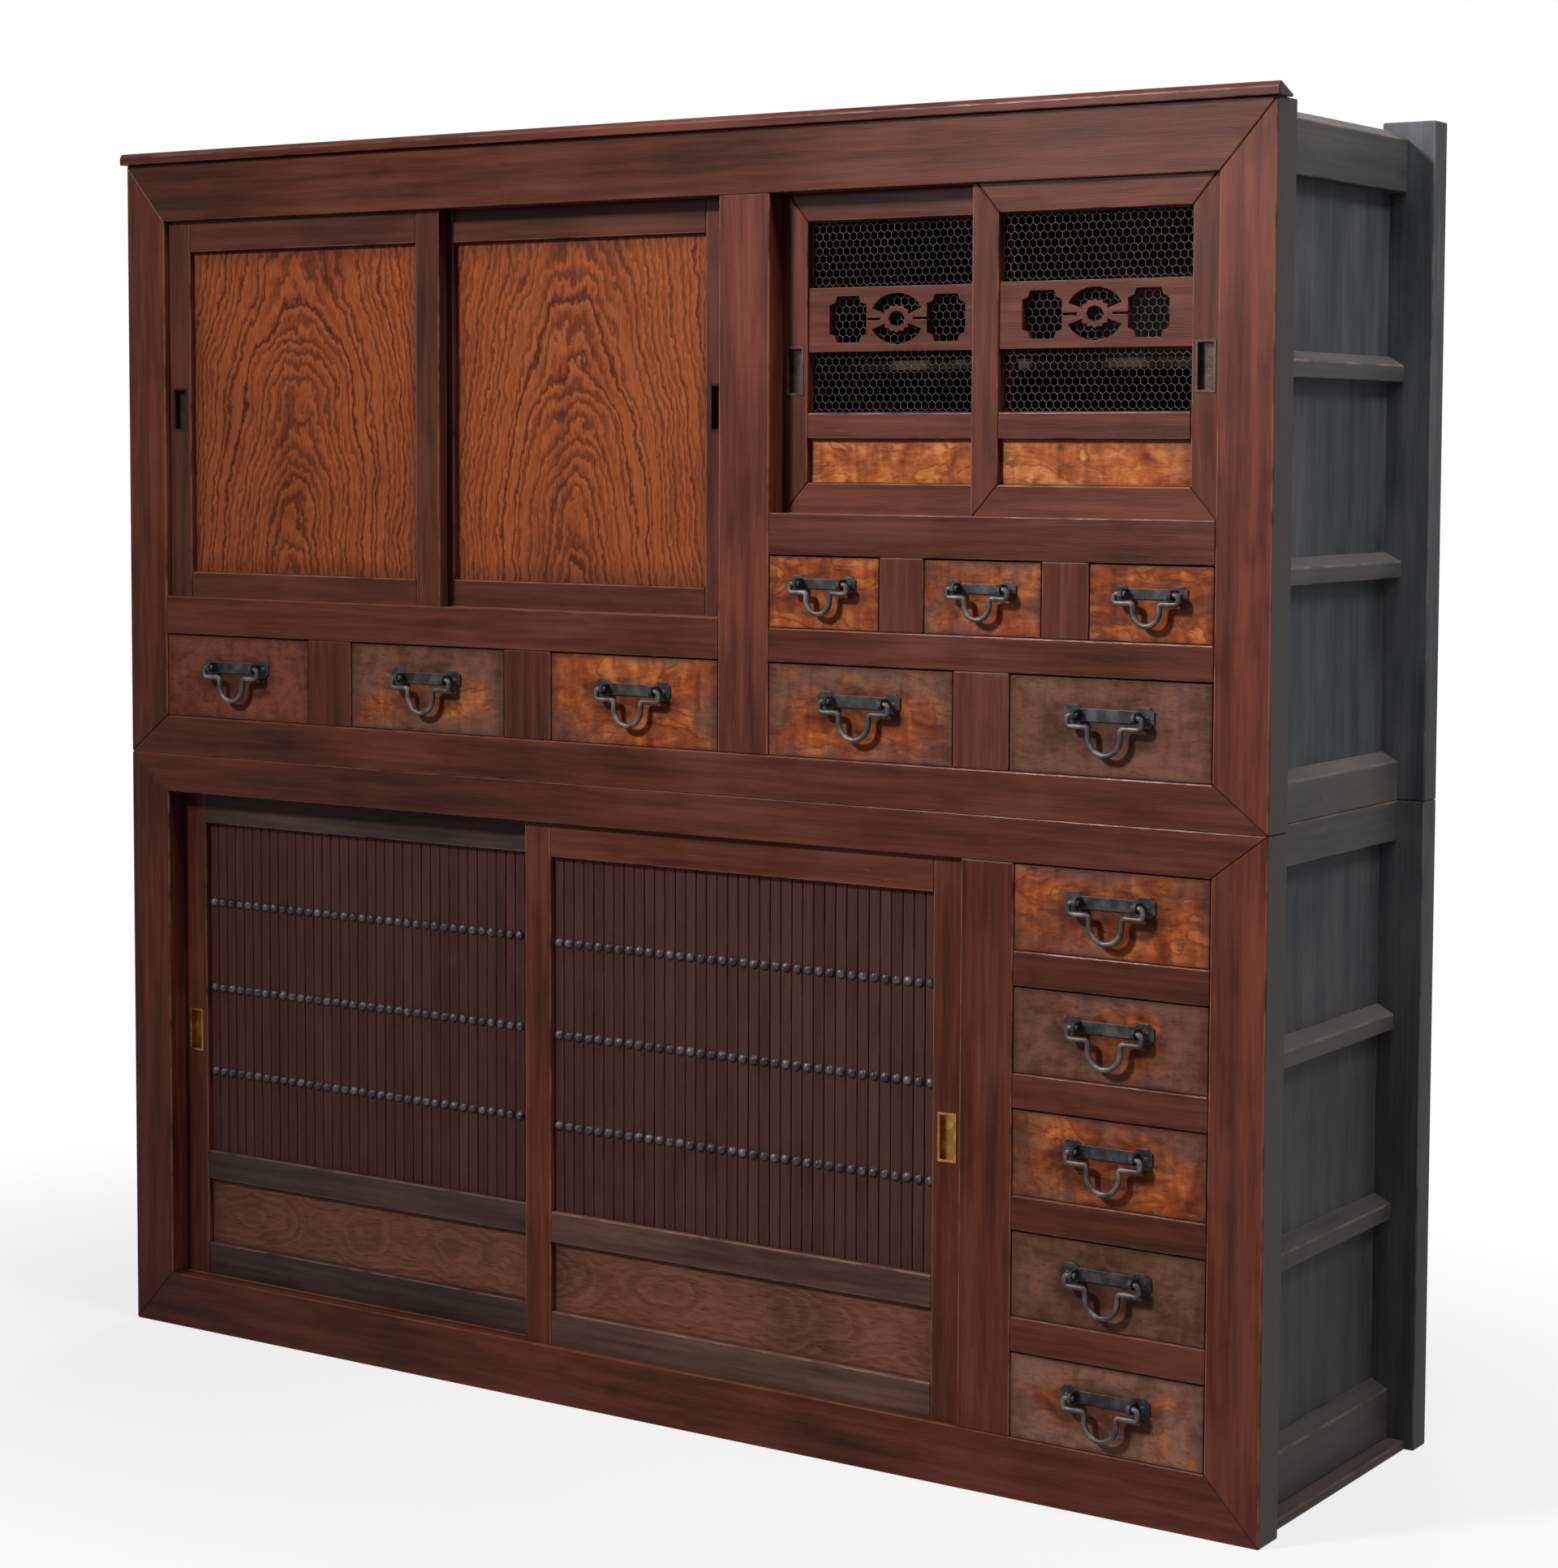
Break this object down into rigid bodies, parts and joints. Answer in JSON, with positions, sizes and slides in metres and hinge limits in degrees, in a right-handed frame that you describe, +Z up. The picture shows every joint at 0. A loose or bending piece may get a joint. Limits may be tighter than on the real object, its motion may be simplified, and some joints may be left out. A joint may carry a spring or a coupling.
{
  "type": "mizuya tansu",
  "caption": "Floor-standing kitchen chest of stacked cases with sliding panel, mesh and slatted doors, burl-front drawers on iron drop handles, and a mitred lacquered front frame.",
  "frame": {"origin": "on the floor, under the middle of the whole chest's box, handles and cornice included", "axes": "+X to the right of a person who faces the front, +Y from the front to the back, +Z up"},
  "size_m": [1.772, 0.5016, 1.653],
  "materials": {
    "frame_lacquer": "dark red-brown wiped lacquer",
    "side_wood": "smoke-blackened softwood",
    "inner_wood": "bare cedar",
    "door_lacquer": "dark red-brown wiped lacquer",
    "keyaki": "lacquered keyaki with strong grain",
    "burl": "lacquered keyaki burl",
    "slat_wood": "dark stained softwood",
    "iron": "forged and blackened",
    "wire": "dark netting wire",
    "brass": "aged"
  },
  "bodies": {
    "chest": {"upper_front_frame": "frame_lacquer", "upper_front_dividers": "frame_lacquer", "upper_side_frames": "side_wood", "upper_decks": "inner_wood", "cornice": "frame_lacquer", "lower_front_frame": "frame_lacquer", "lower_front_dividers": "frame_lacquer", "lower_side_frames": "side_wood", "lower_decks": "inner_wood", "side_panels": "side_wood", "base_sills": "side_wood", "back_boards": "inner_wood", "partitions": "inner_wood", "guides_and_cleats": "inner_wood"},
    "panel_door_left": {"panel_door_left_frame": "door_lacquer", "panel_door_left_panel": "keyaki", "panel_door_left_pull": "iron"},
    "panel_door_right": {"panel_door_right_frame": "door_lacquer", "panel_door_right_panel": "keyaki", "panel_door_right_pull": "iron"},
    "mesh_door_left": {"mesh_door_left_frame": "door_lacquer", "mesh_door_left_boards": "keyaki", "mesh_door_left_net": "wire", "mesh_door_left_pull": "iron"},
    "mesh_door_right": {"mesh_door_right_frame": "door_lacquer", "mesh_door_right_boards": "keyaki", "mesh_door_right_net": "wire", "mesh_door_right_pull": "iron"},
    "slat_door_left": {"slat_door_left_frame": "door_lacquer", "slat_door_left_infill": "slat_wood", "slat_door_left_pull": "brass"},
    "slat_door_right": {"slat_door_right_frame": "door_lacquer", "slat_door_right_infill": "slat_wood", "slat_door_right_pull": "brass"},
    "left_drawer_1": {"left_drawer_1": "burl"},
    "left_bail_1": {"left_bail_1": "iron"},
    "left_drawer_2": {"left_drawer_2": "burl"},
    "left_bail_2": {"left_bail_2": "iron"},
    "left_drawer_3": {"left_drawer_3": "burl"},
    "left_bail_3": {"left_bail_3": "iron"},
    "right_drawer_1": {"right_drawer_1": "burl"},
    "right_bail_1": {"right_bail_1": "iron"},
    "right_drawer_2": {"right_drawer_2": "burl"},
    "right_bail_2": {"right_bail_2": "iron"},
    "small_drawer_1": {"small_drawer_1": "burl"},
    "small_bail_1": {"small_bail_1": "iron"},
    "small_drawer_2": {"small_drawer_2": "burl"},
    "small_bail_2": {"small_bail_2": "iron"},
    "small_drawer_3": {"small_drawer_3": "burl"},
    "small_bail_3": {"small_bail_3": "iron"},
    "column_drawer_1": {"column_drawer_1": "burl"},
    "column_bail_1": {"column_bail_1": "iron"},
    "column_drawer_2": {"column_drawer_2": "burl"},
    "column_bail_2": {"column_bail_2": "iron"},
    "column_drawer_3": {"column_drawer_3": "burl"},
    "column_bail_3": {"column_bail_3": "iron"},
    "column_drawer_4": {"column_drawer_4": "burl"},
    "column_bail_4": {"column_bail_4": "iron"},
    "column_drawer_5": {"column_drawer_5": "burl"},
    "column_bail_5": {"column_bail_5": "iron"}
  },
  "joints": [
    {"name": "panel_door_left_slide", "type": "slide", "parent": "chest", "child": "panel_door_left", "axis": [1, 0, 0], "range_m": [0, 0.453]},
    {"name": "panel_door_right_slide", "type": "slide", "parent": "chest", "child": "panel_door_right", "axis": [-1, 0, 0], "range_m": [0, 0.453]},
    {"name": "mesh_door_left_slide", "type": "slide", "parent": "chest", "child": "mesh_door_left", "axis": [1, 0, 0], "range_m": [0, 0.2805]},
    {"name": "mesh_door_right_slide", "type": "slide", "parent": "chest", "child": "mesh_door_right", "axis": [-1, 0, 0], "range_m": [0, 0.2805]},
    {"name": "slat_door_left_slide", "type": "slide", "parent": "chest", "child": "slat_door_left", "axis": [1, 0, 0], "range_m": [0, 0.628]},
    {"name": "slat_door_right_slide", "type": "slide", "parent": "chest", "child": "slat_door_right", "axis": [-1, 0, 0], "range_m": [0, 0.628]},
    {"name": "left_drawer_1_slide", "type": "slide", "parent": "chest", "child": "left_drawer_1", "axis": [0, -1, 0], "range_m": [0, 0.3]},
    {"name": "left_bail_1_hinge", "type": "hinge", "parent": "left_drawer_1", "child": "left_bail_1", "pos_m": [-0.67867, -0.24465, 0.94061], "axis": [-1, 0, 0], "range_deg": [-8, 110]},
    {"name": "left_drawer_2_slide", "type": "slide", "parent": "chest", "child": "left_drawer_2", "axis": [0, -1, 0], "range_m": [0, 0.3]},
    {"name": "left_bail_2_hinge", "type": "hinge", "parent": "left_drawer_2", "child": "left_bail_2", "pos_m": [-0.34, -0.24465, 0.94061], "axis": [-1, 0, 0], "range_deg": [-8, 110]},
    {"name": "left_drawer_3_slide", "type": "slide", "parent": "chest", "child": "left_drawer_3", "axis": [0, -1, 0], "range_m": [0, 0.3]},
    {"name": "left_bail_3_hinge", "type": "hinge", "parent": "left_drawer_3", "child": "left_bail_3", "pos_m": [-0.00133, -0.24465, 0.94061], "axis": [-1, 0, 0], "range_deg": [-8, 110]},
    {"name": "right_drawer_1_slide", "type": "slide", "parent": "chest", "child": "right_drawer_1", "axis": [0, -1, 0], "range_m": [0, 0.3]},
    {"name": "right_bail_1_hinge", "type": "hinge", "parent": "right_drawer_1", "child": "right_bail_1", "pos_m": [0.33725, -0.24465, 0.94061], "axis": [-1, 0, 0], "range_deg": [-8, 110]},
    {"name": "right_drawer_2_slide", "type": "slide", "parent": "chest", "child": "right_drawer_2", "axis": [0, -1, 0], "range_m": [0, 0.3]},
    {"name": "right_bail_2_hinge", "type": "hinge", "parent": "right_drawer_2", "child": "right_bail_2", "pos_m": [0.67775, -0.24465, 0.94061], "axis": [-1, 0, 0], "range_deg": [-8, 110]},
    {"name": "small_drawer_1_slide", "type": "slide", "parent": "chest", "child": "small_drawer_1", "axis": [0, -1, 0], "range_m": [0, 0.3]},
    {"name": "small_bail_1_hinge", "type": "hinge", "parent": "small_drawer_1", "child": "small_bail_1", "pos_m": [0.28517, -0.24465, 1.0823], "axis": [-1, 0, 0], "range_deg": [-8, 110]},
    {"name": "small_drawer_2_slide", "type": "slide", "parent": "chest", "child": "small_drawer_2", "axis": [0, -1, 0], "range_m": [0, 0.3]},
    {"name": "small_bail_2_hinge", "type": "hinge", "parent": "small_drawer_2", "child": "small_bail_2", "pos_m": [0.5075, -0.24465, 1.0823], "axis": [-1, 0, 0], "range_deg": [-8, 110]},
    {"name": "small_drawer_3_slide", "type": "slide", "parent": "chest", "child": "small_drawer_3", "axis": [0, -1, 0], "range_m": [0, 0.3]},
    {"name": "small_bail_3_hinge", "type": "hinge", "parent": "small_drawer_3", "child": "small_bail_3", "pos_m": [0.72983, -0.24465, 1.0823], "axis": [-1, 0, 0], "range_deg": [-8, 110]},
    {"name": "column_drawer_1_slide", "type": "slide", "parent": "chest", "child": "column_drawer_1", "axis": [0, -1, 0], "range_m": [0, 0.3]},
    {"name": "column_bail_1_hinge", "type": "hinge", "parent": "column_drawer_1", "child": "column_bail_1", "pos_m": [0.682, -0.24465, 0.72256], "axis": [-1, 0, 0], "range_deg": [-8, 110]},
    {"name": "column_drawer_2_slide", "type": "slide", "parent": "chest", "child": "column_drawer_2", "axis": [0, -1, 0], "range_m": [0, 0.3]},
    {"name": "column_bail_2_hinge", "type": "hinge", "parent": "column_drawer_2", "child": "column_bail_2", "pos_m": [0.682, -0.24465, 0.57676], "axis": [-1, 0, 0], "range_deg": [-8, 110]},
    {"name": "column_drawer_3_slide", "type": "slide", "parent": "chest", "child": "column_drawer_3", "axis": [0, -1, 0], "range_m": [0, 0.3]},
    {"name": "column_bail_3_hinge", "type": "hinge", "parent": "column_drawer_3", "child": "column_bail_3", "pos_m": [0.682, -0.24465, 0.43096], "axis": [-1, 0, 0], "range_deg": [-8, 110]},
    {"name": "column_drawer_4_slide", "type": "slide", "parent": "chest", "child": "column_drawer_4", "axis": [0, -1, 0], "range_m": [0, 0.3]},
    {"name": "column_bail_4_hinge", "type": "hinge", "parent": "column_drawer_4", "child": "column_bail_4", "pos_m": [0.682, -0.24465, 0.28516], "axis": [-1, 0, 0], "range_deg": [-8, 110]},
    {"name": "column_drawer_5_slide", "type": "slide", "parent": "chest", "child": "column_drawer_5", "axis": [0, -1, 0], "range_m": [0, 0.3]},
    {"name": "column_bail_5_hinge", "type": "hinge", "parent": "column_drawer_5", "child": "column_bail_5", "pos_m": [0.682, -0.24465, 0.13936], "axis": [-1, 0, 0], "range_deg": [-8, 110]}
  ]
}
